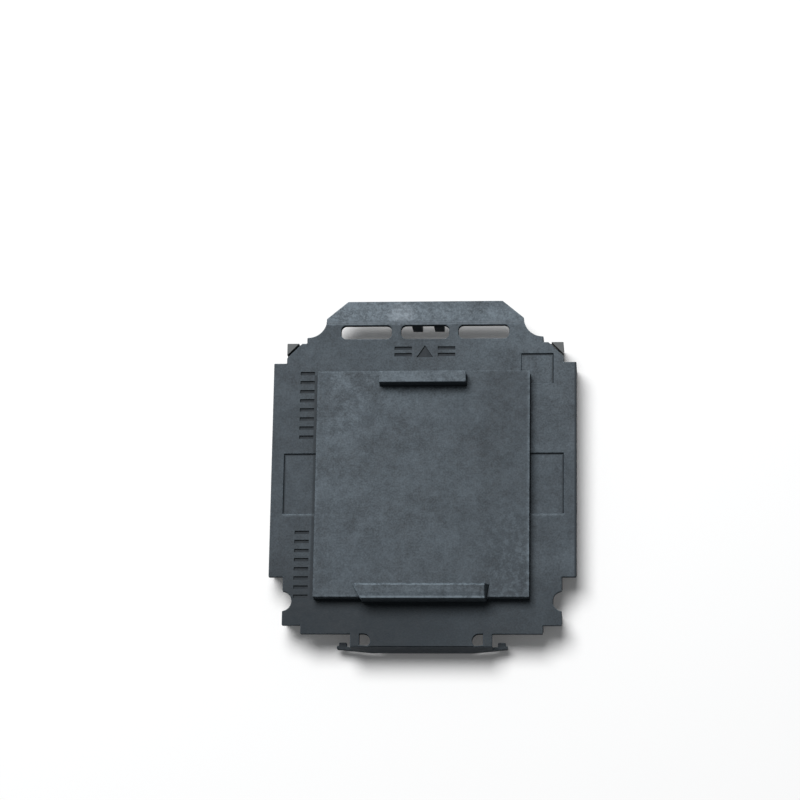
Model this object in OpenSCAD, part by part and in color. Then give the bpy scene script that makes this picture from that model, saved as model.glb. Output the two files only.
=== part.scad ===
// Land grid CPU socket with its pick-up cap on, as supplied for soldering to a board.
// Origin: middle of the contact field, on the board plane. +Z up, +Y towards the cap's finger tab.

/* [Contact grid] */
// Distance between neighbouring contacts
pitch = 0.9144; // [0.85:0.0001:0.93]
// Columns left out in the middle of the grid
window_cols = 24; // [20:2:26]
// Rows left out in the middle of the grid
window_rows = 16; // [12:2:18]
// Contacts left out along each edge at the four corners
corner_n = 4; // [3:1:5]

/* [Housing] */
// Overall width across the two sides
body_w = 42.5; // [41.5:0.1:46]
// Overall length between the two ends
body_l = 41.3; // [40.8:0.1:44]
// Width of the upper shoulders, over the corner posts
upper_shoulder_w = 38.9; // [38.5:0.1:40]
// Width of the lower shoulders
lower_shoulder_w = 38.5; // [38.4:0.1:40]
// Width of the two ends
end_w = 33.3; // [31:0.1:35]
// How far the upper shoulders stand back from the upper end
upper_shoulder = 0.85; // [0.5:0.05:1.1]
// How far the lower shoulders stand back from the lower end
lower_shoulder = 1.2; // [0.5:0.05:1.3]
// How far the wide sides stand back from the upper end
upper_side = 3.75; // [2.5:0.05:5]
// How far the wide sides stand back from the lower end
lower_side = 7.95; // [7:0.05:9]
// Radius of the round notch in each lower shoulder
notch_r = 1.4; // [1.3:0.05:1.5]
// Height of a notch's centre above the lower end
notch_up = 4.55; // [4:0.05:5]
// How far a notch's centre lies outside its shoulder
notch_out = 0.15; // [0.05:0.05:0.2]
// Leg of the triangular posts on the two upper corners
post_leg = 1.7; // [1.4:0.1:2]
// Thickness of the floor that holds the contacts
base_t = 1.9; // [1.6:0.05:2.4]
// Height of the package seat above that floor
seat_h = 0.4; // [0.3:0.05:0.5]
// Height of the walls above the package seat
wall_h = 1.3; // [1.1:0.05:1.8]
// Width of the finger gaps in the two side walls
finger_gap_w = 9; // [7:0.5:11]
// Distance from the middle of the grid to the orientation keys
key_y = 11; // [8:0.1:12]
// Radius of the two orientation keys
key_r = 1; // [0.7:0.05:1.1]
// Width of the rim round the window
rim_w = 0.6; // [0.4:0.05:0.7]
// Gap between the outermost contacts and the edges of their field
field_margin = 0.35; // [0.3:0.01:0.4]
// Leg of the triangular first-contact mark in the field's corner
first_mark = 2; // [1.4:0.1:2.4]
// Depth of the first-contact mark
first_mark_d = 0.25; // [0.1:0.05:0.5]

/* [Package] */
// Width of the square package that drops in
package_w = 37.5; // [37.3:0.05:37.6]
// Clearance all round the package
package_clear = 0.1; // [0.05:0.01:0.15]

/* [Board side] */
// Height of the standoff feet
standoff_h = 0.5; // [0.45:0.01:0.55]
// Radius of the standoff feet
standoff_r = 0.75; // [0.5:0.05:0.8]
// Diameter of the solder balls
ball_d = 0.6; // [0.58:0.01:0.68]

/* [Contacts] */
// Thickness of the contact strip
strip_t = 0.09; // [0.06:0.01:0.11]
// Width of the contact strip
strip_w = 0.34; // [0.28:0.01:0.4]
// Height of the contact tips above the floor
tip_h = 0.75; // [0.65:0.01:0.85]
// How far a tip reaches past the middle of its solder ball
tip_reach = 0.3; // [0.2:0.01:0.36]
// Length of the turned-down end of a tip
nose_l = 0.17; // [0.12:0.01:0.2]
// Drop of the turned-down end of a tip
nose_drop = 0.1; // [0.05:0.01:0.14]
// How far the beam's knee lies below the top of the floor
knee_depth = 0.5; // [0.35:0.05:0.8]
// How far a stem stands behind the middle of its solder ball
stem_back = 0.16; // [0.1:0.01:0.17]

/* [Cap plate] */
// Thickness of the cap's plate
plate_t = 0.9; // [0.7:0.05:1.2]
// How far the plate's lower edges stand out past the housing
overhang = 0.95; // [0.5:0.05:1.2]
// Gap between the plate and the housing's corner posts
post_clear = 0.28; // [0.2:0.01:0.4]
// Depth of the shallow recesses
recess_d = 0.3; // [0.15:0.05:0.4]
// Length of the two side recesses
side_recess_l = 8.6; // [6:0.05:12]
// How far the side recesses end inside the plate's edge
side_recess_edge = 1.75; // [1:0.05:2.5]
// Width of the corner recess beside the plateau
corner_recess_w = 3.2; // [2:0.1:3.4]
// Depth of the corner recess beyond the plateau
corner_recess_l = 3; // [1.5:0.1:3.2]
// How far the corner recess runs back along the plateau
corner_recess_back = 1.3; // [1:0.05:3]

/* [Cap plateau] */
// Width of the raised pick-up plateau
plateau_w = 29.7; // [28:0.1:31]
// Length of the raised pick-up plateau
plateau_l = 32; // [30:0.1:33]
// Distance from the upper end to the plateau
plateau_down = 5.5; // [4.5:0.1:6.5]
// Height of the plateau above the plate
plateau_h = 2; // [1.5:0.1:3]
// Wall thickness of the plateau
plateau_wall = 0.9; // [0.7:0.05:1.2]
// Height of the upper rib above the plateau
upper_rib_h = 2.2; // [1.2:0.1:2.8]
// Length of the upper rib
upper_rib_l = 12.1; // [8:0.1:16]
// Width of the upper rib
upper_rib_w = 1.6; // [1.2:0.1:2]
// How far the upper rib stands back from the plateau's edge
upper_rib_back = 0.55; // [0.1:0.05:0.8]
// Height of the lower rib above the plateau
lower_rib_h = 1.4; // [0.8:0.1:1.8]
// Length of the lower rib
lower_rib_l = 18.7; // [12:0.1:22]
// Width of the lower rib
lower_rib_w = 2.15; // [1.8:0.05:2.6]
// How far the lower rib stands out past the plateau's edge
lower_rib_proud = 0.4; // [0.2:0.05:0.6]
// How far the lower rib's left end slants inwards in plan
lower_rib_left_slant = 1.2; // [0.2:0.05:1.6]
// How far the lower rib's right end slants inwards in plan
lower_rib_right_slant = 0.4; // [0.2:0.05:1.6]
// Draft of the lower rib's ends over its height
lower_rib_draft = 0.5; // [0.2:0.05:0.8]
// Bevel along the lower rib's back
lower_rib_bevel = 0.3; // [0.2:0.05:0.6]
// Width of the falling front part of the lower rib's top
lower_rib_fall_w = 0.85; // [0.5:0.05:1.1]
// How far that part falls
lower_rib_fall = 0.15; // [0.05:0.01:0.3]
// Width of each corner lug under the plate
lug_w = 0.9; // [0.7:0.05:1]
// Length of each leg of a corner lug
lug_l = 3.4; // [3.2:0.1:4]
// Depth of the corner lugs below the plate
lug_d = 0.7; // [0.4:0.05:0.75]
// Clearance between the corner lugs and the walls
lug_clear = 0.15; // [0.1:0.01:0.2]

/* [Finger tab] */
// Distance from the upper end to the tab's outer edge
tab_reach = 5.15; // [4.5:0.05:6.5]
// Width of the tab's outer edge
tab_w = 21.8; // [18:0.1:25]
// Width of the tab where its corners begin
tab_root_w = 27.8; // [27.5:0.1:29]
// Radius of the hollow corners beside the slots
tab_hollow_r = 2.65; // [2.3:0.05:2.8]
// Height of the tab above the plate
tab_h = 0.3; // [0.2:0.05:0.6]
// Distance from the upper end to the tab's step
tab_step = 2; // [1.95:0.05:2.2]
// Width of the slots in the finger tab's root
grip_slot_w = 2; // [1.4:0.05:2.1]
// Distance from the upper end to the slots' far edge
grip_slot_far = 1.75; // [1.5:0.05:1.8]
// Length of the middle slot
mid_slot_l = 6.8; // [6:0.1:7.2]
// Length of each outer slot
outer_slot_l = 7.15; // [6:0.05:7.4]
// Bridge between two neighbouring slots
slot_bridge = 1.3; // [1:0.05:1.5]
// Corner radius of the slots
grip_slot_r = 0.75; // [0.4:0.05:0.9]
// Width of the two teeth behind the middle slot
tooth_w = 1.4; // [1:0.05:1.6]
// Gap between the two teeth
tooth_gap = 1.7; // [1:0.05:1.9]
// How far the pair of teeth stands beside the middle
tooth_aside = 0.3; // [0:0.05:0.5]
// Thickness of the two teeth
tooth_t = 0.75; // [0.5:0.05:0.9]

/* [Front latch] */
// Width of the tongue between the two holes
tongue_w = 14; // [12:0.1:16]
// Distance from the plate's lower end to the middle of the skirt
tongue_l = 1.7; // [1.5:0.05:2.4]
// Width of each hole beside the tongue
latch_hole_w = 1.5; // [1:0.05:1.8]
// Radius of the round side of each hole
latch_hole_r = 0.95; // [0.7:0.05:1]
// Width of each leg outside the holes
latch_leg_w = 1.25; // [1:0.05:1.8]
// Width of the bar along the skirt's foot
bar_w = 23.6; // [22.5:0.1:26]
// Height of that bar
bar_h = 1.2; // [0.8:0.1:1.8]
// Thickness of the skirt along its top
lip_t = 0.12; // [0.08:0.01:0.25]
// Thickness of the skirt at its foot
skirt_t = 0.42; // [0.3:0.01:0.7]
// Angle at which the skirt turns back on either side of the tongue
skirt_turn = 5.5; // [3:0.5:8]
// Height of the skirt below the plate's top
skirt_h = 3.7; // [3:0.1:4]
// Width of the nub near each end of the bar
nub_w = 1.05; // [0.8:0.05:1.4]
// Distance from each nub to the end of the bar
nub_in = 0.3; // [0.2:0.05:0.6]
// How far each nub reaches towards the housing
nub_l = 0.45; // [0.3:0.05:0.8]

/* [Hidden] */
$fn = 48;
// Cuts run this far past the faces that they open
past = 1;
row_letters = [
    "a", "b", "c", "d", "e", "f", "g", "h", "j", "k",
    "l", "m", "n", "p", "r", "t", "u", "v", "w", "y"
];
row_names = concat(row_letters, [for (letter = row_letters) str("a", letter)]);
grid_n = len(row_names);
last = grid_n - 1;
bank_names = [for (i = [0:2:last]) str(row_names[i], "_", row_names[i + 1])];
contact_nodes = [for (bank = bank_names) str("contacts_rows_", bank)];
ball_nodes = [for (bank = bank_names) str("solder_balls_rows_", bank)];

// Levels above the board
floor_z = standoff_h + base_t;
seat_z = floor_z + seat_h;
wall_z = seat_z + wall_h;
plate_z = wall_z + plate_t;
plateau_z = plate_z + plateau_h;
tip_z = floor_z + tip_h;

// Places in plan
upper_end = body_l / 2;
lower_end = -body_l / 2;
plate_end = lower_end - overhang;
plate_mid = (upper_end + plate_end) / 2;
plateau_top = upper_end - plateau_down;
plateau_low = plateau_top - plateau_l;
cavity_w = package_w + 2 * package_clear;
field_w = last * pitch + 2 * field_margin;
rim_x = (window_cols + 1) * pitch - 2 * field_margin;
rim_y = (window_rows + 1) * pitch - 2 * field_margin;
notch_x = lower_shoulder_w / 2 + notch_out;
foot_x = (last - 1) / 2 * pitch;
foot_y = last / 2 * pitch;
side_foot_x = (cavity_w + body_w) / 4;
side_foot_y = finger_gap_w;
latch_w = tongue_w + 2 * latch_hole_w + 2 * latch_leg_w;
skirt_z = plate_z - skirt_h;
skirt_in = plate_end - tongue_l;
lug_out = cavity_w / 2 - lug_clear;
post_x = upper_shoulder_w / 2;
post_y = upper_end - upper_shoulder;

// Inner face of the skirt where it turns back, and a line along the whole skirt a little outside that face
function skirt_y(x) = skirt_in + (x - tongue_w / 2) * tan(skirt_turn);
function skirt_line(out) = [
    [-bar_w / 2, skirt_y(bar_w / 2) - out], [-tongue_w / 2, skirt_in - out],
    [tongue_w / 2, skirt_in - out], [bar_w / 2, skirt_y(bar_w / 2) - out]
];
function backwards(points) = [for (i = [len(points) - 1:-1:0]) points[i]];
function middle(i) = i - last / 2;
function near_edge(i) = min(i, last - i);
function in_window(row, col) = abs(middle(col)) < window_cols / 2 && abs(middle(row)) < window_rows / 2;
function in_corner(row, col) = near_edge(row) + near_edge(col) < corner_n;
function at_key(row, col) = near_edge(col) < 3 && abs(middle(row) * pitch - key_y) < 2 * pitch;
function at_first(row, col) = last - row == corner_n / 2 && last - col == corner_n / 2;
function is_filled(row, col) =
    !in_window(row, col) && !in_corner(row, col) && !at_key(row, col) && !at_first(row, col);
// The contacts form two opposed L-shaped groups that lean opposite ways, so their side forces cancel
function in_upper_group(row, col) =
    middle(row) > window_rows / 2 || (middle(col) < 0 && middle(row) > -window_rows / 2);

// Outline of a strip of thickness t along a bent path
function unit(v) = v / norm(v);
function side(v) = [-v[1], v[0]];
function ahead(path, i) = unit(path[min(i + 1, len(path) - 1)] - path[min(i, len(path) - 2)]);
function behind(path, i) = unit(path[max(i, 1)] - path[max(i - 1, 0)]);
function mitre(path, i) =
    let (n = unit(side(ahead(path, i)) + side(behind(path, i)))) n / (n * side(ahead(path, i)));
function strip_outline(path, t) = concat(
    [for (i = [0:len(path) - 1]) path[i] + mitre(path, i) * t / 2],
    [for (i = [len(path) - 1:-1:0]) path[i] - mitre(path, i) * t / 2]
);

// A rectangle placed by its width about the Y axis and its two ends
module centred_rect(w, y0, y1) {
    translate([-w / 2, y0]) square([w, y1 - y0]);
}

module both_sides() {
    children();
    mirror([1, 0, 0]) children();
}

module slab(z0, z1) {
    translate([0, 0, z0]) linear_extrude(z1 - z0) children();
}

module on_grid(first_row, last_row) {
    for (row = [first_row:last_row], col = [0:last])
        if (is_filled(row, col))
            translate([middle(col) * pitch, middle(row) * pitch, 0])
                rotate(in_upper_group(row, col) ? 0 : 180) children();
}

// Stepped outline from its lower end up, with a notch in each lower shoulder
module stepped_outline(low_y, notch_run) {
    difference() {
        union() {
            centred_rect(body_w, low_y + lower_side, upper_end - upper_side);
            centred_rect(upper_shoulder_w, 0, post_y);
            centred_rect(lower_shoulder_w, low_y + lower_shoulder, 0);
            centred_rect(end_w, low_y, upper_end);
        }
        both_sides() notch(notch_run);
    }
}

// Round notch, placed from the plate's end so that housing and cap line up, and run upwards in the housing
module notch(run) {
    translate([notch_x, plate_end + notch_up]) union() {
        circle(notch_r);
        if (run > 0) {
            translate([0, run]) circle(notch_r);
            translate([-notch_r, 0]) square([2 * notch_r, run]);
        }
    }
}

// Room for the package, with the two half-round keys left standing in it
module package_room() {
    difference() {
        square(cavity_w, center = true);
        both_sides() translate([package_w / 2, key_y]) circle(key_r);
    }
}

// Sunken contact field between the seating ledge and the rim of the window
module contact_field() {
    difference() {
        square(field_w, center = true);
        square([rim_x, rim_y], center = true);
        both_sides() translate([package_w / 2, key_y]) circle(key_r);
    }
}

module standoff_feet() {
    for (x = [-foot_x, foot_x], y = [-foot_y, foot_y])
        translate([x, y, 0]) cylinder(r = standoff_r, h = standoff_h + past / 2);
    for (x = [-side_foot_x, side_foot_x], y = [-side_foot_y, side_foot_y])
        translate([x, y, 0]) cylinder(r = standoff_r, h = standoff_h + past / 2);
}

// Triangle sunk into the corner of the field, where the first contact stands
module first_contact_mark() {
    corner = field_w / 2 - field_margin;
    polygon([[corner, corner], [corner - first_mark, corner], [corner, corner - first_mark]]);
}

// Triangular post on an upper corner that stands up beside the cap's plate
module corner_post() {
    polygon([[post_x, post_y], [post_x - post_leg, post_y], [post_x, post_y - post_leg]]);
}

module socket_housing() {
    color("#35322f") union() {
        difference() {
            union() {
                slab(standoff_h, wall_z) stepped_outline(lower_end, overhang);
                standoff_feet();
            }
            slab(seat_z, wall_z + past) package_room();
            slab(floor_z, seat_z + past / 2) contact_field();
            slab(floor_z - first_mark_d, seat_z) first_contact_mark();
            slab(-past, wall_z) square([rim_x - 2 * rim_w, rim_y - 2 * rim_w], center = true);
            slab(seat_z, wall_z + past) square([body_w + past, finger_gap_w], center = true);
        }
        slab(wall_z - wall_h / 2, plate_z) both_sides() corner_post();
    }
}

// One stamped contact: stem pressed through the floor down to its ball, leaning beam, turned-down nose
module contact() {
    beam_z = tip_z - strip_t / 2;
    path = [
        [-stem_back, standoff_h],
        [-stem_back, floor_z - knee_depth],
        [tip_reach, beam_z],
        [tip_reach + nose_l, beam_z - nose_drop]
    ];
    rotate([90, 0, 0]) linear_extrude(strip_w, center = true) polygon(strip_outline(path, strip_t));
}

module contact_bank(i) {
    color("#c9a227") on_grid(2 * i, 2 * i + 1) contact();
}

// A solder ball with the flat where it is joined to its contact's foot
module solder_ball() {
    difference() {
        translate([0, 0, ball_d / 2]) sphere(d = ball_d);
        translate([-ball_d, -ball_d, standoff_h]) cube(2 * ball_d);
    }
}

module ball_bank(i) {
    color("#b9bcc0") on_grid(2 * i, 2 * i + 1) solder_ball();
}

module grip_slot(l) {
    r = grip_slot_r;
    y1 = upper_end + grip_slot_far;
    y0 = y1 - grip_slot_w;
    union() {
        centred_rect(l - 2 * r, y0, y1);
        centred_rect(l, y0 + r, y1 - r);
        for (x = [r - l / 2, l / 2 - r], y = [y0 + r, y1 - r]) translate([x, y]) circle(r);
    }
}

module grip_slots() {
    grip_slot(mid_slot_l);
    both_sides() translate([(mid_slot_l + outer_slot_l) / 2 + slot_bridge, 0]) grip_slot(outer_slot_l);
}

// The slotted strip that carries the finger tab, hollowed at its corners
module tab_strip() {
    hollow_y = upper_end + tab_hollow_r;
    difference() {
        centred_rect(tab_root_w + 2 * tab_hollow_r, upper_end - past, hollow_y);
        both_sides() translate([tab_root_w / 2 + tab_hollow_r, hollow_y]) circle(tab_hollow_r);
    }
}

module tab_outline() {
    corner_y = upper_end + tab_hollow_r;
    far_y = upper_end + tab_reach;
    polygon([
        [-tab_root_w / 2, corner_y - past / 2],
        [tab_root_w / 2, corner_y - past / 2],
        [tab_root_w / 2, corner_y],
        [tab_w / 2, far_y],
        [-tab_w / 2, far_y],
        [-tab_root_w / 2, corner_y]
    ]);
}

module corner_chamfer(x, y, leg) {
    both_sides() translate([x, y]) rotate(45) square(leg * sqrt(2), center = true);
}

module plate_outline() {
    difference() {
        union() {
            difference() {
                stepped_outline(plate_end, 0);
                corner_chamfer(post_x, post_y, post_leg + post_clear * sqrt(2));
            }
            tab_strip();
            tab_outline();
            both_sides() latch_half();
        }
        grip_slots();
        both_sides() latch_hole();
    }
}

// Half of the tongue with its leg, from the plate to the middle of the skirt's lip
module latch_half() {
    in_lip = lip_t / 2;
    polygon([
        [-past, plate_end + past], [-past, skirt_in - in_lip], [tongue_w / 2, skirt_in - in_lip],
        [latch_w / 2, skirt_y(latch_w / 2) - in_lip], [latch_w / 2, plate_end + past]
    ]);
}

// Hole beside the tongue, straight on the outside, round towards the middle and closed by the skirt
module latch_hole() {
    intersection() {
        translate([tongue_w / 2, skirt_in - past]) square([latch_hole_w, tongue_l + past]);
        translate([tongue_w / 2 + latch_hole_r, plate_end - latch_hole_r]) union() {
            circle(latch_hole_r);
            translate([0, -tongue_l]) square([latch_hole_w, tongue_l + latch_hole_r]);
        }
    }
}

// Plan of the skirt and its bar
module skirt_strip() {
    polygon(concat(skirt_line(0), backwards(skirt_line(skirt_t))));
}

// Skirt that leans back above its low bar, down to the thickness of its lip
module skirt() {
    bar_z = skirt_z + bar_h;
    outer_y = skirt_in - skirt_t;
    lean = (skirt_t - lip_t) / (plate_z - bar_z);
    difference() {
        union() {
            slab(skirt_z, plate_z) intersection() {
                skirt_strip();
                centred_rect(latch_w, skirt_in - past, plate_end);
            }
            slab(skirt_z, bar_z) skirt_strip();
        }
        translate([-bar_w, 0, 0]) rotate([90, 0, 90]) linear_extrude(2 * bar_w) polygon([
            [outer_y - lean * past, bar_z - past],
            [outer_y + lean * (plate_z + past - bar_z), plate_z + past],
            [outer_y - 2 * past, plate_z + past],
            [outer_y - 2 * past, bar_z - past]
        ]);
    }
}

// Nub on the bar that points towards the housing
module end_nub() {
    near_x = bar_w / 2 - nub_in - nub_w;
    root_y = skirt_y(near_x) - skirt_t / 4;
    translate([near_x, root_y]) square([nub_w, skirt_y(bar_w / 2) + nub_l - root_y]);
}

// Corner lug that drops inside the housing's upper walls and centres the cap
module upper_lug() {
    difference() {
        translate([lug_out - lug_l, lug_out - lug_l]) square(lug_l);
        translate([lug_out - lug_l - past, lug_out - lug_l - past]) square(lug_l - lug_w + past);
    }
}

// Straight lug inside the lower wall, clear of the notch
module lower_lug() {
    translate([notch_x - notch_r - lug_clear - lug_l, -lug_out]) square([lug_l, lug_w]);
}

// Rib along the plateau's lower edge, standing on the plate, with drafted ends that slant inwards
module lower_rib() {
    w = lower_rib_w;
    b = lower_rib_bevel;
    half = lower_rib_l / 2;
    front = plateau_low - lower_rib_proud;
    root = plate_z - plate_t / 2;
    top = plateau_z + lower_rib_h;
    over = lower_rib_draft * (1 + past / lower_rib_h);
    intersection() {
        translate([-half, front, 0]) rotate([90, 0, 90]) linear_extrude(lower_rib_l) polygon([
            [0, root], [w, root], [w, top - b], [w - b, top],
            [lower_rib_fall_w, top], [0, top - lower_rib_fall]
        ]);
        slab(root - past, top + past) translate([0, front]) polygon([
            [lower_rib_left_slant - half, 0], [half - lower_rib_right_slant, 0], [half, w], [-half, w]
        ]);
        translate([0, front + w + past, 0]) rotate([90, 0, 0]) linear_extrude(w + 2 * past) polygon([
            [-half, root - past], [half, root - past], [half, plateau_z],
            [half - over, top + past], [over - half, top + past], [-half, plateau_z]
        ]);
    }
}

module plateau_outline(inset) {
    centred_rect(plateau_w - 2 * inset, plateau_low + inset, plateau_top - inset);
}

module pickup_cap() {
    rib_y = plateau_top - upper_rib_back;
    slot_y = upper_end + grip_slot_far;
    color("#454b52") difference() {
        union() {
            slab(wall_z, plate_z) plate_outline();
            slab(wall_z, plateau_z) plateau_outline(0);
            slab(plateau_z - plateau_wall / 2, plateau_z + upper_rib_h)
                centred_rect(upper_rib_l, rib_y - upper_rib_w, rib_y);
            lower_rib();
            slab(wall_z, plate_z + tab_h) intersection() {
                union() {
                    tab_strip();
                    tab_outline();
                }
                centred_rect(body_w, upper_end + tab_step, upper_end + tab_reach);
            }
            slab(skirt_z, plate_z) for (x = [-tooth_gap / 2 - tooth_w, tooth_gap / 2])
                translate([tooth_aside + x, slot_y]) square([tooth_w, tooth_t]);
            skirt();
            slab(skirt_z, skirt_z + bar_h) both_sides() end_nub();
            slab(wall_z - lug_d, wall_z + plate_t / 2) both_sides() {
                upper_lug();
                lower_lug();
            }
        }
        slab(wall_z - past, plateau_z - plateau_wall) plateau_outline(plateau_wall);
        slab(plate_z - recess_d, plateau_z) both_sides()
            translate([plateau_w / 2, plate_mid - side_recess_l / 2])
            square([(body_w - plateau_w) / 2 - side_recess_edge, side_recess_l]);
        slab(plate_z - recess_d, plateau_z) corner_recess();
    }
}

// L-shaped recess round the plateau's corner that marks the first contact
module corner_recess() {
    difference() {
        translate([plateau_w / 2 - corner_recess_back, plateau_top - corner_recess_back])
            square([corner_recess_w + corner_recess_back, corner_recess_l + corner_recess_back]);
        plateau_outline(0);
    }
}

socket_housing();
pickup_cap();
for (i = [0:len(bank_names) - 1]) {
    contact_bank(i);
    ball_bank(i);
}
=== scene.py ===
import math
import bpy
import bmesh
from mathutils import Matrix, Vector


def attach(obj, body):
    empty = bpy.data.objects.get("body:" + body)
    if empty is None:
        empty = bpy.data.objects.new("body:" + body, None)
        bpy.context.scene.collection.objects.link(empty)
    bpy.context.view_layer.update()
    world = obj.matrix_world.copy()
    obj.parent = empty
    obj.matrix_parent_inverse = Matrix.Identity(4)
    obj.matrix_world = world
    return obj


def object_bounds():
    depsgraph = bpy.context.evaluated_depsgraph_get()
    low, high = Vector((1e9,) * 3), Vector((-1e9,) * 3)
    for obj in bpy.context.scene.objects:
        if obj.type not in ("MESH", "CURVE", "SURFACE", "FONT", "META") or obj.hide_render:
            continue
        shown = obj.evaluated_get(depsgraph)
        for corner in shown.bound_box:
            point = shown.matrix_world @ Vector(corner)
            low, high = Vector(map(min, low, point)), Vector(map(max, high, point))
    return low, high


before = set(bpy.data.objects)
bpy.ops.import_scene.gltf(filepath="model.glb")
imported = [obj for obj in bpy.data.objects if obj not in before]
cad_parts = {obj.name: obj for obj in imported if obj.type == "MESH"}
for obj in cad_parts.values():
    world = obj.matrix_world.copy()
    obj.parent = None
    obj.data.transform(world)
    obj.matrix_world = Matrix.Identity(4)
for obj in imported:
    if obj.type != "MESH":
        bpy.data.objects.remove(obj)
cadLow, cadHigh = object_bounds()
mm = 0.001
print("frame loaded:", len(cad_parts), "nodes")


# a socket that can be written into sums, with one method for every other node
class Wire:
    def __init__(self, socket):
        self.socket = socket
        self.tree = socket.id_data

    def node(self, kind, settings=None, inputs=None, out=0):
        made = self.tree.nodes.new(kind)
        for name, value in (settings or {}).items():
            setattr(made, name, value)
        for key, value in (inputs or {}).items():
            plug(self.tree, value, made.inputs[key])
        return Wire(made.outputs[out])

    def math(self, operation, a, b):
        return self.node("ShaderNodeMath", {"operation": operation}, {0: a, 1: b})

    def __add__(self, other):
        return self.math("ADD", self, other)

    def __radd__(self, other):
        return self.math("ADD", other, self)

    def __sub__(self, other):
        return self.math("SUBTRACT", self, other)

    def __rsub__(self, other):
        return self.math("SUBTRACT", other, self)

    def __mul__(self, other):
        return self.math("MULTIPLY", self, other)

    def __rmul__(self, other):
        return self.math("MULTIPLY", other, self)

    def __gt__(self, other):
        return self.math("GREATER_THAN", self, other)

    def __lt__(self, other):
        return self.math("LESS_THAN", self, other)


# a link for a wire; a plain value goes on the socket itself
def plug(tree, value, socket):
    if isinstance(value, Wire):
        tree.links.new(value.socket, socket)
    else:
        socket.default_value = value


# from start below low to end above high, smooth between
def rise(value, low, high, start=0.0, end=1.0):
    return value.node("ShaderNodeMapRange", {"interpolation_type": "SMOOTHSTEP"},
                      {"Value": value, "From Min": low, "From Max": high, "To Min": start, "To Max": end})


def fall(value, low, high):
    return rise(value, low, high, 1.0, 0.0)


def between(value, low, high):
    return (value > low) * (value < high)


# a base value plus a share of each named pattern
def weighted(shares, patterns):
    return sum((share * patterns[name] for name, share in shares.items() if name != "base"), shares["base"])


def noise(place, scale, detail=3, rough=0.55):
    return place.node("ShaderNodeTexNoise", {"noise_dimensions": "3D"},
                      {"Vector": place, "Scale": scale, "Detail": detail, "Roughness": rough})


middleTones = (0.30, 0.70)


# noise with its middle tones drawn apart
def marks(place, scale, detail, rough):
    return rise(noise(place, scale, detail, rough), *middleTones)


# noise drawn out into streaks of the given length, width and height, turned about Z
def streaks(place, turn, size, detail, rough=0.55):
    turned = place.node("ShaderNodeMapping", {"vector_type": "TEXTURE"},
                        {"Vector": place, "Rotation": (0, 0, math.radians(turn)), "Scale": size})
    return noise(turned, 1.0, detail, rough)


def mixColour(share, first, second):
    return share.node("ShaderNodeMix", {"data_type": "RGBA", "clamp_factor": True},
                      {0: share, 6: first, 7: second}, out=2)


def tint(red, green, blue):
    return (red, green, blue, 1)


# an empty finish, its shader, and the place on the part in millimetres
def newFinish(name):
    finish = bpy.data.materials.new(name)
    finish.use_nodes = True
    shader = finish.node_tree.nodes["Principled BSDF"]
    coords = Wire(shader.outputs[0]).node("ShaderNodeTexCoord", out="Object")
    place = coords.node("ShaderNodeVectorMath", {"operation": "SCALE"}, {0: coords, "Scale": 1 / mm})
    return finish, shader, place


def byAxis(vector):
    return [vector.node("ShaderNodeSeparateXYZ", {}, {0: vector}, out=axis) for axis in "XYZ"]


# the way the surface faces, by axis
def facingAt(place):
    return byAxis(place.node("ShaderNodeNewGeometry", out="True Normal"))


flatTops = (0.93, 0.985)      # upward facing of the last of a rounding, and of the flat top


# 1 on rounded edges, from where they leave the wall to the flat top
def onRounding(upness, leavesWall):
    return rise(upness, *leavesWall) * fall(upness, *flatTops)


# fills the shader's sockets, each named with _ for its spaces
def useFinish(shader, **values):
    for name, value in values.items():
        plug(shader.id_data, value, shader.inputs[name.replace("_", " ")])


def bumpFrom(height, strength, depth):
    return height.node("ShaderNodeBump", {}, {"Strength": strength, "Distance": depth, "Height": height})


capFinish = {
    "clean": tint(0.012, 0.018, 0.024),    # bare plastic, as on the walls; painted shade draws towards it too
    "hazeAndLight": tint(0.150, 0.185, 0.215),    # pale haze of handled tops with fine scuffs; also the colour of painted highlights and painted light
    "dustAndBendLight": tint(0.30, 0.34, 0.38),        # dust that lies thick; also a painted highlight along the tab's bend
    "shine": 0.30,
    "rough": {"base": 0.82, "cloud": 0.06, "mottle": 0.08, "dustAndBendLight": 0.08, "top": -0.22},
    "relief": {"base": 0, "grain": 1.0, "mottle": 0.9},
    "bump": {"strength": 0.30, "depth": 0.00003},
    "tops": (0.55, 0.92),                  # upward facing of the walls and of the tops
    "leavesWall": (0.10, 0.25),
    "lit": (0.10, 0.50),                   # walls that face the tab get the light
    "sideways": 0.2,                       # least sideways facing of an end wall
}
capPatterns = {                            # scale, detail and roughness
    "cloud": (0.14, 3, 0.55),
    "blotch": (0.50, 4, 0.65),
    "mottle": (1.4, 4, 0.70),
    "grain": (4.0, 3, 0.70),
}
capMottle = {"base": -0.05, "cloud": 0.50, "blotch": 0.46, "mottle": 0.56, "grain": 0.58, "smear": 0.20}
capSmear = {"turn": 28, "size": (7.0, 2.2, 3.0), "detail": 5, "rough": 0.65}
smearTones = (0.52, 0.74)

capLevels = {"groove": 4.75, "recess": 4.7, "plate": 5.0, "plateau": 7.0}
capSteps = {"plateau": (6.0, 6.4), "lowerRib": (7.6, 7.9), "upperRib": (8.6, 8.8)}   # finish changes there
levelSlack = 0.02
filletBand = (0.004, 0.125)                # heights of the hollow fillets over a level
tabStart = (22.3, 22.6)                    # the finger tab begins there, along Y

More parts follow.
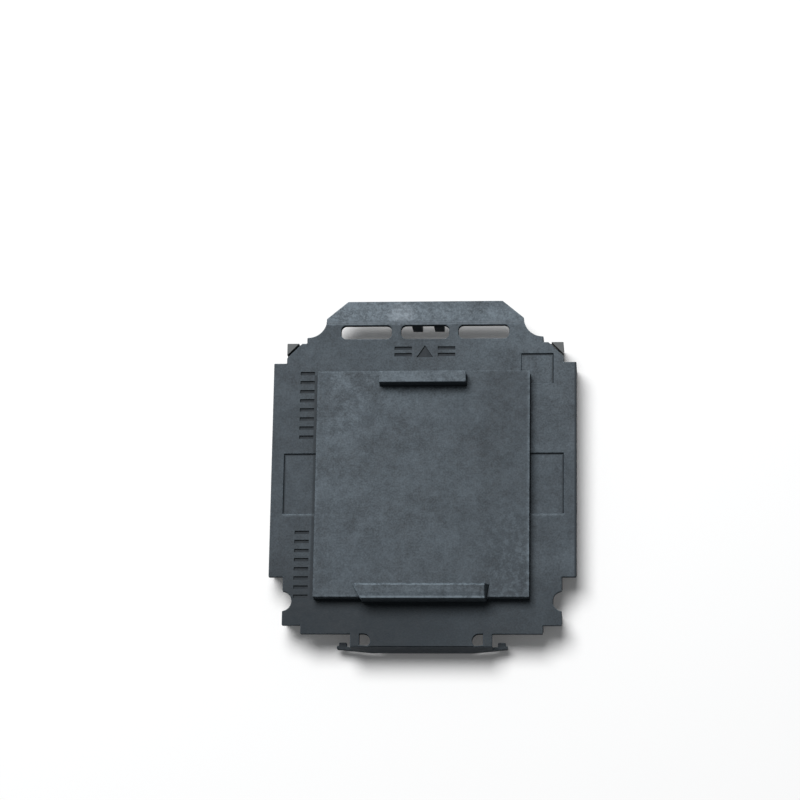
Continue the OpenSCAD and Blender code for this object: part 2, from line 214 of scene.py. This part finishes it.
capTopShares = {                               # how much of the pale colour each level's tops carry, and what a place adds to it or takes from it
    "plate": {"base": 0.22, "right": 0.11, "rightMiddle": -0.07, "nearTab": 0.05, "nearSkirt": -0.18},
    "plateau": {"base": 0.345, "corner": 0.14, "right": -0.09, "front": -0.03},
    "lowerRib": {"base": 0.37},
    "upperRib": {"base": 0.49},
    "tab": {"base": 0.60, "right": -0.12, "farEdge": -0.16},
}
topSharePlaces = {
    "right": {"x": (-6.0, 17.0)},
    "rightMiddle": {"upper": (2.0, 5.0), "lower": (-12.0, -8.0)},
    "nearTab": {"y": (8.0, 17.0)},
    "nearSkirt": {"y": (-18.5, -9.0)},
    "corner": {"slant": (8.0, 28.0), "x": (-14.8, -12.0), "tones": (0.2, 0.8)},
    "front": {"y": (-14.0, -2.0)},
    "farEdge": {"x": (-7.0, -3.0), "y": (24.0, 25.8)},
}


def atLevel(z, level):
    return between(z, level - levelSlack, level + levelSlack)


# 1 on the small hollow fillet that rises from a level
def filletAbove(z, level):
    return between(z, level + filletBand[0], level + filletBand[1])


# how much of the pale colour a top carries before its mottle, by level and by place
def topShareAt(x, y, z, blotch):
    v = topSharePlaces
    right = rise(x, *v["right"]["x"])
    corner = rise(y - x, *v["corner"]["slant"]) * rise(x, *v["corner"]["x"])
    places = {
        "right": right,
        "rightMiddle": right * fall(y, *v["rightMiddle"]["upper"]) * rise(y, *v["rightMiddle"]["lower"]),
        "nearTab": rise(y, *v["nearTab"]["y"]),
        "nearSkirt": fall(y, *v["nearSkirt"]["y"]),
        "corner": corner * rise(blotch, *v["corner"]["tones"]),
        "front": fall(y, *v["front"]["y"]),
        "farEdge": rise(x, *v["farEdge"]["x"]) * rise(y, *v["farEdge"]["y"]),
    }
    amount = weighted(capTopShares["plate"], places)
    for level, step in capSteps.items():
        amount = amount + rise(z, *step) * (weighted(capTopShares[level], places) - amount)
    return amount + rise(y, *tabStart) * (weighted(capTopShares["tab"], places) - amount)


tabDustAndHighlight = {
    "specks": (1.7, 7, 0.85),              # scale, detail and roughness
    "tones": (0.45, 0.62),
    "thin": 0.575,                         # pale colour that thin dust adds
    "thinRight": 0.5,                      # what the thin dust loses to the right
    "spot": {"at": (-3.4, 23.8, 5.3), "reach": (0.6, 2.6), "cover": {"base": 0.35, "specks": 0.65}},
    # painted highlight along the bend, where the ramp's slope faces away from the lamp
    "bend": {"from": (22.42, 22.58), "to": (22.82, 23.02), "cover": {"base": 0.35, "specks": 0.40}},
    "thick": 0.75,                         # how far thick dust and the painted highlight on the bend hide the plastic
}


# pale dust on the tab, a thin cover and a thicker spot; along the bend, a painted highlight in the dust
# colour
def dustAndHighlightOnTab(place, x, y):
    v = tabDustAndHighlight
    spot, bend = v["spot"], v["bend"]
    specks = rise(noise(place, *v["specks"]), *v["tones"])
    away = place.node("ShaderNodeVectorMath", {"operation": "DISTANCE"},
                      {0: place, 1: spot["at"]}, out="Value")
    onTab = rise(y, *tabStart)
    thin = v["thin"] * onTab * specks * (1 - v["thinRight"] * rise(x, *topSharePlaces["right"]["x"]))
    onSpot = onTab * weighted(spot["cover"], {"specks": specks}) * fall(away, *spot["reach"])
    # painted highlight along the bend
    litBend = weighted(bend["cover"], {"specks": specks}) * rise(y, *bend["from"]) * fall(y, *bend["to"])
    return thin, y.math("MAXIMUM", onSpot, litBend)


recesses = {
    "side": 19.5,                          # outer walls and ends of the two side recesses
    "top": 3.825,
    "low": -4.775,
    "cornerFrom": 10.0,                    # the corner recess lies beyond this, along Y
    "cornerSide": 18.05,
    "cornerTop": 18.15,
    "cornerLeft": (13.3, 13.8),
    "shadeBand": (0.12, 0.34),
    "shade": 0.8,
    "lipBand": (0.15, 0.45),
}


# 1 in the shaded strip of a recess floor along its upper and outer walls
def recessShade(y, z, across):
    v = recesses
    inCorner = y > v["cornerFrom"]
    fromTop = v["top"] + (v["cornerTop"] - v["top"]) * inCorner - y
    fromOuter = v["side"] + (v["cornerSide"] - v["side"]) * inCorner - across
    return atLevel(z, capLevels["recess"]) * fall(y.math("MINIMUM", fromTop, fromOuter), *v["shadeBand"])


# 1 on the painted highlight along the lip of the plate just below the side recesses
def recessLipHighlight(y, z, across):
    v = recesses
    below = v["low"] - y
    onPlate = (across < v["side"]) * (z < capLevels["plate"] + levelSlack)
    return onPlate * (below > 0.0) * fall(below, *v["lipBand"])


plateauBox = {"side": 14.85, "low": -16.85, "high": 15.15}
lowerRib = {"front": -17.25, "back": -15.0, "left": -8.0, "right": 8.5, "foot": 7.0, "top": 8.45}


# end walls by the light they get: the rib's left and the corner recess's are pale, the rib's right is dark
def endWalls(x, y, z, sideFacing):
    rib, sideways = lowerRib, capFinish["sideways"]
    onRib = between(z, rib["foot"], rib["top"]) * (y < rib["back"])
    ribLeft = onRib * (x < rib["left"]) * (sideFacing < -sideways)
    ribRight = onRib * (x > rib["right"]) * (sideFacing > sideways)
    atRecess = (z < capLevels["plate"] + levelSlack) * (y > plateauBox["high"])
    recessEnd = atRecess * between(x, *recesses["cornerLeft"]) * (sideFacing > sideways)
    return ribLeft + recessEnd, ribRight


# rubbed edges: partly wear, partly painted highlights, strongest on the plateau's right rim and the rib's
# front
capWearAndHighlights = {
    "edge": 0.24,                          # pale colour added on a rubbed edge: wear and painted highlight
    "patchy": 0.4,                         # its least share, with the mottle on top
    "shares": {"base": 0, "rim": 0.4, "rightRim": 0.7, "scuffs": 0.45, "ribFront": 2.4, "recessLipHighlight": 1.2},
    "rimBand": (0.05, 0.55),
    "rightBand": 0.6,
    "ribFrontBand": (0.20, 0.40),
    "scuffs": {"x": (6.0, 13.0), "y": (-11.0, -2.0), "tones": (0.75, 1.05), "blotch": 0.5},
    # painted highlight on roundings that face the tab or lie on the plateau's right side
    "roundings": {"base": 0.8, "lit": 1.6, "right": 1.2},
    "patchyRounding": 0.35,
}
# walls and strips: painted light on walls that face the tab and on pale end walls, painted shade on the
# rib's dark end, the skirt, the plate's right edge and the plateau's left foot
capLightAndShade = {
    "wall": 0.14,                          # pale colour on the walls; those facing the tab get painted light
    "wallPatchy": 0.5,
    "wallShade": 0.6,
    "paleEnd": 0.6,
    "darkEnd": 0.8,
    "skirt": -21.0,                        # walls beyond this, along Y, get no pale colour: painted shade on the skirt
    # painted shade: a dark strip along the plate's right edge, and along the plate at the plateau's left
    # foot
    "rightEdge": {"x": (20.92, 21.07), "share": 0.85},
    "leftFoot": {"band": (-0.75, -0.45), "share": 0.75},
}


# pale haze on the handled tops, toned by place; dark walls with painted light where they face the tab; dark
# groove floors; painted shade in fillets, recess strips, along some edges and on the skirt; rubbed edges
# with painted highlights; dust on the tab with a painted highlight along its bend
def makeCapPlastic():
    v, wearAndLight, painted, box = capFinish, capWearAndHighlights, capLightAndShade, plateauBox
    finish, shader, place = newFinish("capPlastic")
    x, y, z = byAxis(place)
    facing = facingAt(place)
    patterns = {name: marks(place, *size) for name, size in capPatterns.items()}
    mottle, blotch = patterns["mottle"], patterns["blotch"]
    patterns["smear"] = rise(streaks(place, **capSmear), *smearTones) * mottle
    top = rise(facing[2], *v["tops"])
    lit = rise(facing[1], *v["lit"])
    thinDust, dustAndLitBend = dustAndHighlightOnTab(place, x, y)
    paleEnd, darkEnd = endWalls(x, y, z, facing[0])

    # where on the cap it is
    onPlateau = rise(z, *capSteps["plateau"])
    onLowerRib = rise(z, *capSteps["lowerRib"]) * (z < capSteps["upperRib"][0])
    across = x.math("ABSOLUTE", x, 0.0)
    fromSide = box["side"] - across
    fromEnd = y.math("MINIMUM", y - box["low"], box["high"] - y)
    rightSide = onPlateau * (x > box["side"] - wearAndLight["rightBand"])
    # painted shade along the plate's right edge and at the plateau's left foot
    rightEdge = rise(x, *painted["rightEdge"]["x"])
    leftFoot = (1 - onPlateau) * (x < 0) * (fromEnd > 0) * rise(fromSide, *painted["leftFoot"]["band"])
    # the groove floors are kept dark; painted shade in the hollow fillets at the foot of walls
    groove = atLevel(z, capLevels["groove"])
    filletShade = filletAbove(z, capLevels["recess"]) + filletAbove(z, capLevels["plateau"])
    filletShade = filletShade + filletAbove(z, capLevels["plate"]) * (y < tabStart[0])

    # what is rubbed pale, and the painted highlights on the plateau's rim, the rib's front and the recess
    # lips
    rim = fall(y.math("MINIMUM", fromSide, fromEnd), *wearAndLight["rimBand"]) * onPlateau * (1 - onLowerRib)
    scuffs = rise(mottle + wearAndLight["scuffs"]["blotch"] * blotch, *wearAndLight["scuffs"]["tones"]) * onPlateau
    wornAndHighlit = weighted(wearAndLight["shares"], {
        "rim": rim,
        "rightRim": rim * rightSide,
        "scuffs": scuffs * rise(x, *wearAndLight["scuffs"]["x"]) * fall(y, *wearAndLight["scuffs"]["y"]),
        "ribFront": onLowerRib * fall(y - lowerRib["front"], *wearAndLight["ribFrontBand"]),
        "recessLipHighlight": recessLipHighlight(y, z, across),
    })
    # roundings: wear, with a painted highlight where they face the tab and on the plateau's right
    rounding = weighted(wearAndLight["roundings"], {"lit": lit, "right": rightSide})
    rounding = rounding * onRounding(facing[2], v["leavesWall"]) * (wearAndLight["patchyRounding"] + mottle)

    # the tops, then the walls, then the roundings between them
    # painted shade on those strips and in the recess strips
    paintedEdgeShade = painted["leftFoot"]["share"] * leftFoot + painted["rightEdge"]["share"] * rightEdge
    amount = topShareAt(x, y, z, blotch) * weighted(capMottle, patterns) + thinDust
    amount = amount * (1 - paintedEdgeShade) * (1 - recesses["shade"] * recessShade(y, z, across))
    amount = amount + wearAndLight["edge"] * wornAndHighlit * (wearAndLight["patchy"] + mottle)
    # walls: a little pale colour, with painted light on those facing the tab and painted shade on the skirt
    wall = painted["wall"] * (painted["wallPatchy"] + mottle) * (painted["wallShade"] + lit) * (y > painted["skirt"])
    amount = top * amount + (1 - top) * (wall + painted["paleEnd"] * paleEnd)
    amount = amount + wearAndLight["edge"] * rounding * (1 - rightEdge)
    # painted shade in the hollow fillets, except those facing the tab or a pale end wall; the groove floors
    # kept dark
    amount = amount * (1 - filletShade * (1 - lit) * (1 - paleEnd)) * (1 - groove)
    # painted shade on the rib's right end
    colour = mixColour(amount * (1 - painted["darkEnd"] * darkEnd), v["clean"], v["hazeAndLight"])
    # thick dust on the spot, and the painted highlight along the bend
    colour = mixColour(tabDustAndHighlight["thick"] * top * dustAndLitBend, colour, v["dustAndBendLight"])
    useFinish(shader, Base_Color=colour, Specular_IOR_Level=v["shine"],
              Roughness=weighted(v["rough"], {**patterns, "dustAndBendLight": dustAndLitBend, "top": top}),
              Normal=bumpFrom(weighted(v["relief"], patterns), **v["bump"]))
    return finish


housingFinish = {
    "black": tint(0, 0, 0),
    "colour": tint(0.096, 0.104, 0.107),
    "worn": tint(0.140, 0.147, 0.148),
    "fibre": tint(0.130, 0.135, 0.134),
    "shine": 0.40,
    "shade": {"base": 0.52, "top": 0.20, "flow": 0.34, "grain": 0.18},
    "rough": {"base": 0.54, "flow": 0.14, "grain": 0.08, "fibres": -0.06},
    "relief": {"base": 0, "grain": 1.0, "fibres": 0.6},
    "bump": {"strength": 0.30, "depth": 0.00002},
    "flow": {"turn": 8, "size": (10.0, 1.8, 3.3), "detail": 4},
    "fibres": {"turn": 75, "size": (1.1, 0.11, 0.33), "detail": 2, "rough": 0.5},
    "fibreTones": (0.60, 0.74),
    "fibreShare": 0.35,
    "grain": (8.0, 2, 0.6),                # scale, detail and roughness
    "tops": (0.2, 0.8),
    "leavesWall": (0.15, 0.30),
    "wornShare": 0.55,
}


# dark glass-filled polymer: flow streaks, fine fibres and slightly rubbed edges
def makeHousingPlastic():
    v = housingFinish
    finish, shader, place = newFinish("housingPlastic")
    upness = facingAt(place)[2]
    patterns = {
        "flow": streaks(place, **v["flow"]),
        "fibres": rise(streaks(place, **v["fibres"]), *v["fibreTones"]),
        "grain": noise(place, *v["grain"]),
        "top": rise(upness, *v["tops"]),
    }
    colour = mixColour(weighted(v["shade"], patterns), v["black"], v["colour"])
    colour = mixColour(v["fibreShare"] * patterns["fibres"], colour, v["fibre"])
    colour = mixColour(v["wornShare"] * onRounding(upness, v["leavesWall"]), colour, v["worn"])
    useFinish(shader, Base_Color=colour, Specular_IOR_Level=v["shine"],
              Roughness=weighted(v["rough"], patterns),
              Normal=bumpFrom(weighted(v["relief"], patterns), **v["bump"]))
    return finish


goldFinish = {
    "bright": tint(1.00, 0.76, 0.36),
    "dull": tint(0.88, 0.64, 0.29),
    "blend": {"base": 0, "patches": 1.0, "drawn": 0.3},
    "blendTones": (0.35, 0.85),
    "metallic": {"base": 0.6, "tips": 0.3},
    "rough": {"base": 0.34, "drawn": 0.16, "tips": -0.08},
    "bump": {"strength": 0.2, "depth": 0.000006},
    "drawn": {"turn": 0, "size": (0.66, 0.04, 0.33), "detail": 2},
    "patchScale": 0.35,
    "tips": (2.9, 3.12),                   # the beams are rubbed from here up
}


# gold-plated strip: drawn lines along the beam and a brighter, rubbed tip
def makeContactGold():
    v = goldFinish
    finish, shader, place = newFinish("contactGold")
    patterns = {
        "drawn": streaks(place, **v["drawn"]),
        "patches": noise(place, v["patchScale"]),
        "tips": rise(byAxis(place)[2], *v["tips"]),
    }
    blend = rise(weighted(v["blend"], patterns), *v["blendTones"])
    useFinish(shader, Base_Color=mixColour(blend, v["dull"], v["bright"]),
              Metallic=weighted(v["metallic"], patterns),
              Roughness=weighted(v["rough"], patterns),
              Normal=bumpFrom(patterns["drawn"], **v["bump"]))
    return finish


solderFinish = {
    "bright": tint(0.74, 0.75, 0.76),
    "dull": tint(0.52, 0.53, 0.54),
    "blend": {"base": 0, "frost": 1.0, "patches": 0.4},
    "blendTones": (0.45, 0.95),
    "rough": {"base": 0.34, "frost": 0.22},
    "bump": {"strength": 0.25, "depth": 0.00001},
    "frost": (5.0, 4, 0.6),                # scale, detail and roughness
    "patches": (1.1, 2),
}


# satin solder with the frosty patches of a frozen ball
def makeSolder():
    v = solderFinish
    finish, shader, place = newFinish("satinSolder")
    patterns = {"frost": noise(place, *v["frost"]), "patches": noise(place, *v["patches"])}
    blend = rise(weighted(v["blend"], patterns), *v["blendTones"])
    useFinish(shader, Base_Color=mixColour(blend, v["bright"], v["dull"]), Metallic=1.0,
              Roughness=weighted(v["rough"], patterns),
              Normal=bumpFrom(patterns["frost"], **v["bump"]))
    return finish


wellShadeFinish = {
    "colour": tint(0.012, 0.011, 0.010),
    "rim": tint(0.040, 0.037, 0.034),
    "tones": (0.4, 0.8),
    "rough": {"base": 0.7, "grain": 0.2},
    "bump": {"strength": 0.2, "depth": 0.00001},
    "grain": (6.0, 2),                     # scale and detail
}


# painted shade: the dark colour of the thin plates that stand for the shaded mouths of the contact wells
def makeWellShadePaint():
    v = wellShadeFinish
    finish, shader, place = newFinish("wellShadePaint")
    grain = noise(place, *v["grain"])
    useFinish(shader, Base_Color=mixColour(rise(grain, *v["tones"]), v["colour"], v["rim"]),
              Roughness=weighted(v["rough"], {"grain": grain}),
              Normal=bumpFrom(grain, **v["bump"]))
    return finish


capPlastic = makeCapPlastic()
housingPlastic = makeHousingPlastic()
contactGold = makeContactGold()
satinSolder = makeSolder()
wellShadePaint = makeWellShadePaint()
print("finishes made:", len(bpy.data.materials))


edges = {
    "pickup_cap": {"width": 0.11, "segments": 3},
    "socket_housing": {"width": 0.07, "segments": 2},
}
sharpEdge = {"join": 0.002, "angle": 35}


# moulded edges on a carried-over node: joins its split corners, then rounds what is sharp
def roundEdges(piece, width, segments):
    weld = piece.modifiers.new("joinCorners", "WELD")
    weld.merge_threshold = sharpEdge["join"] * mm
    bevel = piece.modifiers.new("roundEdges", "BEVEL")
    bevel.width = width * mm
    bevel.segments = segments
    bevel.limit_method = "ANGLE"
    bevel.angle_limit = math.radians(sharpEdge["angle"])
    bevel.use_clamp_overlap = False
    bevel.loop_slide = False
    bevel.harden_normals = True


def dress(piece, finish):
    piece.data.materials.clear()
    piece.data.materials.append(finish)


for name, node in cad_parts.items():
    if name in edges:
        dress(node, capPlastic if name == "pickup_cap" else housingPlastic)
        roundEdges(node, **edges[name])
    else:
        dress(node, contactGold if name.startswith("contacts") else satinSolder)
print("carried-over nodes dressed")


# a new piece from a bmesh in the part's frame, riding on a body
def addPiece(name, shape, finish, body):
    mesh = bpy.data.meshes.new(name)
    bmesh.ops.recalc_face_normals(shape, faces=shape.faces)
    shape.to_mesh(mesh)
    shape.free()
    piece = bpy.data.objects.new(name, mesh)
    bpy.context.scene.collection.objects.link(piece)
    dress(piece, finish)
    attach(piece, body)
    return piece


# a closed block over an outline, whose top is grown outwards, or inwards where grow is below 0
def taperedBlock(shape, outline, low, high, grow):
    middle = sum((Vector(p) for p in outline), Vector((0, 0))) / len(outline)
    foot = [shape.verts.new((p[0] * mm, p[1] * mm, low * mm)) for p in outline]
    top = []
    for p in outline:
        spot = Vector(p) + (Vector(p) - middle).normalized() * grow
        top.append(shape.verts.new((spot.x * mm, spot.y * mm, high * mm)))
    shape.faces.new(top)
    shape.faces.new(list(reversed(foot)))
    for i in range(len(outline)):
        j = (i + 1) % len(outline)
        shape.faces.new((foot[i], foot[j], top[j], top[i]))


def boxOutline(x, y, w, l):
    return [(x - w / 2, y - l / 2), (x + w / 2, y - l / 2), (x + w / 2, y + l / 2), (x - w / 2, y + l / 2)]


# a closed bar: a profile in Y and Z, drawn out along X
def drawnBar(shape, profile, x0, x1):
    ends = [[shape.verts.new((x * mm, y * mm, z * mm)) for y, z in profile] for x in (x0, x1)]
    shape.faces.new(ends[0])
    shape.faces.new(list(reversed(ends[1])))
    for i in range(len(profile)):
        j = (i + 1) % len(profile)
        shape.faces.new((ends[0][i], ends[1][i], ends[1][j], ends[0][j]))


tabRamp = {
    "step": 22.65,                         # the tab's square step in the solid, along Y
    "from": 22.42,
    "to": 22.98,
    "low": 5.0,
    "high": 5.3,
    "side": 13.9,
    "sunk": 0.05,                          # how far the ramp goes into the cap
    "trim": 0.1,                           # how far the cut of the step's edge goes past the ramp
    "sideTrim": 1.0,
}


# height of the ramp that blends the tab into the plate
def rampHeight(y):
    v = tabRamp
    return v["low"] + (v["high"] - v["low"]) * (y - v["from"]) / (v["to"] - v["from"])


def makeTabRamp():
    v = tabRamp
    shape = bmesh.new()
    floor, back = v["low"] - v["sunk"], v["step"] + v["sunk"]
    profile = [(v["from"], floor), (back, floor), (back, rampHeight(back)), (v["from"], v["low"])]
    drawnBar(shape, profile, -v["side"], v["side"])
    return addPiece("tabRamp", shape, capPlastic, "cap")


engraving = {
    "stroke": 0.46,
    "above": 0.3,                          # how far the cutting blocks stand over the plate
    "flare": 0.08,
    "arrow": {"at": (0.0, 18.55), "wide": 2.3, "tall": 1.7},
    "arrowBars": {"long": 2.4, "gap": 0.7, "step": 0.95},
    "columns": [
        {"x": -16.45, "from": 6.2, "to": 15.4, "count": 8, "long": 1.95},
        {"x": -16.75, "from": -16.4, "to": -7.4, "count": 8, "long": 1.95},
    ],
}


# outlines of the plain marks: an arrowhead towards the tab between short bars, and two columns of bars
def markOutlines():
    v, bars = engraving, engraving["arrowBars"]
    x, y = v["arrow"]["at"]
    w, h = v["arrow"]["wide"], v["arrow"]["tall"]
    outlines = [[(x - w / 2, y - h / 2), (x + w / 2, y - h / 2), (x, y + h / 2)]]
    reach = w / 2 + bars["gap"] + bars["long"] / 2
    for side in (-1, 1):
        for row in (-1, 1):
            barX, barY = x + side * reach, y + row * bars["step"] / 2
            outlines.append(boxOutline(barX, barY, bars["long"], v["stroke"]))
    for column in v["columns"]:
        step = (column["to"] - column["from"]) / (column["count"] - 1)
        for i in range(column["count"]):
            outlines.append(boxOutline(column["x"], column["from"] + i * step, column["long"], v["stroke"]))
    return outlines


# cuts the marks into the plate, and the edge of the tab's step down to the ramp
def engraveCap(cap):
    v, ramp = engraving, tabRamp
    shape = bmesh.new()
    for outline in markOutlines():
        taperedBlock(shape, outline, capLevels["groove"], capLevels["plate"] + v["above"], v["flare"])
    start, stop = ramp["step"] - ramp["trim"], ramp["to"] + ramp["trim"]
    profile = [(start, rampHeight(start)), (stop, rampHeight(stop)), (start, rampHeight(stop))]
    drawnBar(shape, profile, -ramp["side"] - ramp["sideTrim"], ramp["side"] + ramp["sideTrim"])
    tool = addPiece("engravingTool", shape, capPlastic, "cap")
    tool.hide_render = True
    tool.hide_viewport = True
    cut = cap.modifiers.new("engraving", "BOOLEAN")
    cut.operation = "DIFFERENCE"
    cut.solver = "EXACT"
    cut.object = tool


makeTabRamp()
engraveCap(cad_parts["pickup_cap"])
print("plain marks engraved on the cap")


grid = {
    "pitch": 0.9144,
    "count": 40,
    "windowCols": 24,
    "windowRows": 16,
    "cornerCount": 4,
    "keyY": 11.0,
    "keyCols": 3,                          # contacts that a key takes from its row
    "keyRows": 2,                          # rows to each side of a key's middle
    "floor": 2.4,
    "rib": {"wide": 0.20, "tall": 0.22, "grow": -0.04},
    "reach": 17.55,                        # ribs end clear of the keys and the ledge
    "rimX": 11.15,                         # ribs end at the rim of the window
    "rimY": 7.45,
    "well": {"long": 0.74, "wide": 0.46, "tall": 0.006, "grow": -0.004},
}


# steps from the middle of the grid
def middleOf(i):
    return i - (grid["count"] - 1) / 2


# whether a place on the grid has a contact
def isFilled(row, col):
    v = grid
    last = v["count"] - 1
    nearRow, nearCol = min(row, last - row), min(col, last - col)
    if abs(middleOf(col)) < v["windowCols"] / 2 and abs(middleOf(row)) < v["windowRows"] / 2:
        return False
    if nearRow + nearCol < v["cornerCount"]:
        return False
    if nearCol < v["keyCols"] and abs(middleOf(row) * v["pitch"] - v["keyY"]) < v["keyRows"] * v["pitch"]:
        return False
    return not (last - row == last - col == v["cornerCount"] / 2)


# low ribs that part the rows of contacts
def makeRowRibs():
    v, rib = grid, grid["rib"]
    shape = bmesh.new()
    for row in range(v["count"] - 1):
        y = (middleOf(row) + 0.5) * v["pitch"]
        spans = [(-v["reach"], v["reach"])]
        if abs(y) < v["rimY"]:
            spans = [(-v["reach"], -v["rimX"]), (v["rimX"], v["reach"])]
        for x0, x1 in spans:
            outline = boxOutline((x0 + x1) / 2, y, x1 - x0, rib["wide"])
            taperedBlock(shape, outline, v["floor"], v["floor"] + rib["tall"], rib["grow"])
    return addPiece("rowRibs", shape, housingPlastic, "socket")


# painted shade: thin dark plates on the floor where the contact wells' mouths lie in shade, one round the
# foot of every contact
def makeWellShadePlates():
    v, well = grid, grid["well"]
    shape = bmesh.new()
    for row in range(v["count"]):
        for col in range(v["count"]):
            if isFilled(row, col):
                x, y = middleOf(col) * v["pitch"], middleOf(row) * v["pitch"]
                outline = boxOutline(x, y, well["long"], well["wide"])
                taperedBlock(shape, outline, v["floor"], v["floor"] + well["tall"], well["grow"])
    return addPiece("wellShadePlates", shape, wellShadePaint, "socket")


makeRowRibs()
makeWellShadePlates()
print("contact field dressed")


floorStage = {
    "size": 6.0,
    "drop": 0.00002,
    "colour": tint(0.97, 0.97, 0.97),
    "roughness": 0.9,
    "glow": tint(1, 1, 1),
    "share": 0.06,
    "seenBy": ("Is Camera Ray", "Is Glossy Ray", "Is Transmission Ray"),
}


# plain pale floor just under the feet; where it is seen, a small share of plain white lifts its shadow
def makeFloor():
    v = floorStage
    half = v["size"] / 2
    mesh = bpy.data.meshes.new("floor")
    corners = [(-half, -half, 0), (half, -half, 0), (half, half, 0), (-half, half, 0)]
    mesh.from_pydata(corners, [], [(0, 1, 2, 3)])
    floor = bpy.data.objects.new("floor", mesh)
    floor.location = (0, 0, cadLow[2] - v["drop"])
    bpy.context.scene.collection.objects.link(floor)
    finish = bpy.data.materials.new("paleFloor")
    finish.use_nodes = True
    tree = finish.node_tree
    shader = tree.nodes["Principled BSDF"]
    useFinish(shader, Base_Color=v["colour"], Roughness=v["roughness"], Specular_IOR_Level=0.0)
    surface = Wire(shader.outputs[0])
    seen = sum(surface.node("ShaderNodeLightPath", out=ray) for ray in v["seenBy"])
    glow = surface.node("ShaderNodeEmission", {}, {"Color": v["glow"], "Strength": 1.0})
    mixed = surface.node("ShaderNodeMixShader", {}, {0: v["share"] * seen, 1: surface, 2: glow})
    plug(tree, mixed, tree.nodes["Material Output"].inputs["Surface"])
    dress(floor, finish)


keyLamp = {"place": (-0.144, 0.304, 0.725), "size": 0.496, "power": 7.04}
sky = {"colour": tint(0.95, 0.98, 1.0), "strength": 0.14}


# one large soft lamp nearly overhead, a little towards the tab and the left, and a faint even sky
def makeLights():
    v = keyLamp
    lamp = bpy.data.lights.new("key", "AREA")
    lamp.shape = "DISK"
    lamp.size = v["size"]
    lamp.energy = v["power"]
    holder = bpy.data.objects.new("key", lamp)
    holder.location = v["place"]
    holder.rotation_euler = Vector(v["place"]).to_track_quat("Z", "Y").to_euler()
    bpy.context.scene.collection.objects.link(holder)
    world = bpy.data.worlds.new("studioSky")
    world.use_nodes = True
    background = world.node_tree.nodes["Background"]
    background.inputs["Color"].default_value = sky["colour"]
    background.inputs["Strength"].default_value = sky["strength"]
    bpy.context.scene.world = world


view = {
    "place": (29.57, -90.56, 394.69),
    "turn": (14.7, 4.6, 0.90),
    "lens": 130.0,
    "sensor": 36.0,
    "near": 10.0,
}


# long lens from nearly above, a little to the front and the right
def makeCamera():
    data = bpy.data.cameras.new("photoView")
    data.sensor_width = view["sensor"]
    data.lens = view["lens"]
    data.clip_start = view["near"] * mm
    camera = bpy.data.objects.new("photoView", data)
    camera.location = Vector(view["place"]) * mm
    camera.rotation_euler = [math.radians(a) for a in view["turn"]]
    bpy.context.scene.collection.objects.link(camera)
    bpy.context.scene.camera = camera


makeFloor()
makeLights()
makeCamera()
bpy.context.scene.view_settings.view_transform = "Standard"
print("floor, lights and camera placed")
